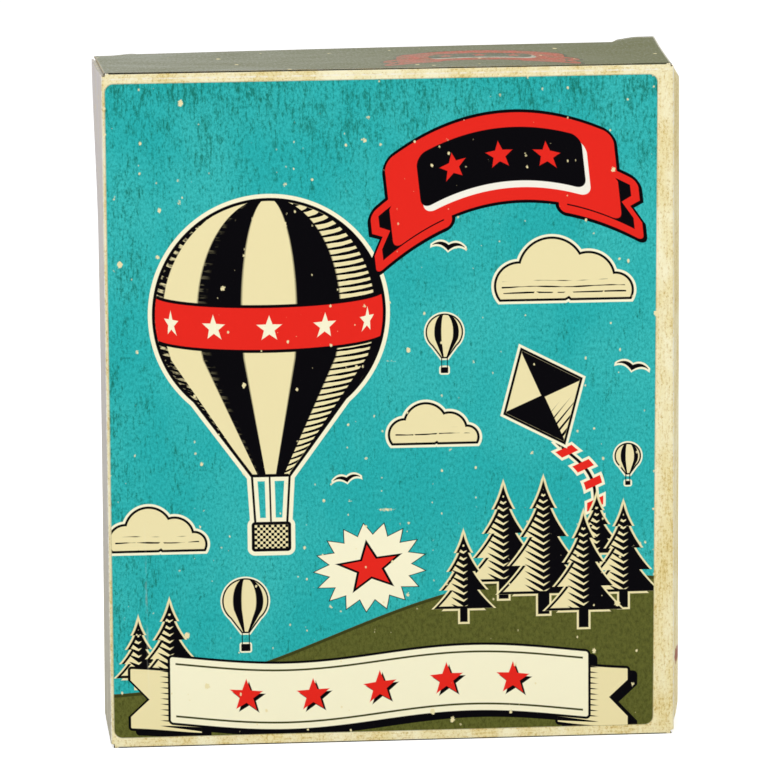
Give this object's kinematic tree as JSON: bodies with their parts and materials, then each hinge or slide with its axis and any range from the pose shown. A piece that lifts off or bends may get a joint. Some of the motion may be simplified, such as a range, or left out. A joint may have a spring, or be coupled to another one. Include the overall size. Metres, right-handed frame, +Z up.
{
  "type": "toy parachute",
  "caption": "Closed tuck-end display carton of printed board holding a moulded paratrooper figure, its folded cloth canopy and a hank of suspension lines.",
  "frame": {"origin": "centre of the carton's base between the side folds, on the surface that it stands on", "axes": "+Z up, along the carton's height; the printed front panel faces -Y; +X to the right as the front is seen"},
  "size_m": [0.1298, 0.0318, 0.1524],
  "materials": {
    "front_print": "printed paperboard, worn",
    "side_print": "printed paperboard, aged cream",
    "lid_print": "printed paperboard, olive",
    "plain_board": "unprinted paperboard",
    "figure_plastic": "moulded soft plastic",
    "ring_wire": "plated wire",
    "canopy_cloth": "thin woven cloth",
    "line_cord": "cotton thread",
    "band_rubber": "natural rubber"
  },
  "bodies": {
    "sleeve": {"front_panel": "front_print", "back_panel": "side_print", "left_side_panel": "side_print", "right_side_panel": "side_print", "glue_flap": "plain_board", "figure": "figure_plastic", "line_ring": "ring_wire", "canopy": "canopy_cloth", "rubber_band": "band_rubber", "suspension_lines": "line_cord"},
    "top_lid": {"top_lid": "lid_print"},
    "top_tuck_flap": {"top_tuck_flap": "lid_print"},
    "top_dust_flap_left": {"top_dust_flap_left": "plain_board"},
    "top_dust_flap_right": {"top_dust_flap_right": "plain_board"},
    "bottom_lid": {"bottom_lid": "lid_print"},
    "bottom_tuck_flap": {"bottom_tuck_flap": "lid_print"},
    "bottom_dust_flap_left": {"bottom_dust_flap_left": "plain_board"},
    "bottom_dust_flap_right": {"bottom_dust_flap_right": "plain_board"}
  },
  "joints": [
    {"name": "top_lid_hinge", "type": "hinge", "parent": "sleeve", "child": "top_lid", "pos_m": [0, -0.01562, 0.15215], "axis": [1, 0, 0], "range_deg": [0, 150]},
    {"name": "top_tuck_fold", "type": "hinge", "parent": "top_lid", "child": "top_tuck_flap", "pos_m": [0, 0.01482, 0.15215], "axis": [1, 0, 0], "range_deg": [0, 50]},
    {"name": "top_dust_fold_left", "type": "hinge", "parent": "sleeve", "child": "top_dust_flap_left", "pos_m": [-0.06325, 0, 0.15135], "axis": [0, -1, 0], "range_deg": [0, 85]},
    {"name": "top_dust_fold_right", "type": "hinge", "parent": "sleeve", "child": "top_dust_flap_right", "pos_m": [0.06325, 0, 0.15135], "axis": [0, 1, 0], "range_deg": [0, 85]},
    {"name": "bottom_lid_hinge", "type": "hinge", "parent": "sleeve", "child": "bottom_lid", "pos_m": [0, -0.01562, 0.00025], "axis": [-1, 0, 0], "range_deg": [0, 150]},
    {"name": "bottom_tuck_fold", "type": "hinge", "parent": "bottom_lid", "child": "bottom_tuck_flap", "pos_m": [0, 0.01482, 0.00025], "axis": [-1, 0, 0], "range_deg": [0, 50]},
    {"name": "bottom_dust_fold_left", "type": "hinge", "parent": "sleeve", "child": "bottom_dust_flap_left", "pos_m": [-0.06325, 0, 0.00105], "axis": [0, 1, 0], "range_deg": [0, 85]},
    {"name": "bottom_dust_fold_right", "type": "hinge", "parent": "sleeve", "child": "bottom_dust_flap_right", "pos_m": [0.06325, 0, 0.00105], "axis": [0, -1, 0], "range_deg": [0, 85]}
  ],
  "couplings": [
    {"joint": "top_tuck_fold", "follows": "top_lid_hinge", "ratio": 0.3},
    {"joint": "top_dust_fold_left", "follows": "top_lid_hinge", "ratio": 0.5},
    {"joint": "top_dust_fold_right", "follows": "top_lid_hinge", "ratio": 0.5},
    {"joint": "bottom_tuck_fold", "follows": "bottom_lid_hinge", "ratio": 0.3},
    {"joint": "bottom_dust_fold_left", "follows": "bottom_lid_hinge", "ratio": 0.5},
    {"joint": "bottom_dust_fold_right", "follows": "bottom_lid_hinge", "ratio": 0.5}
  ]
}
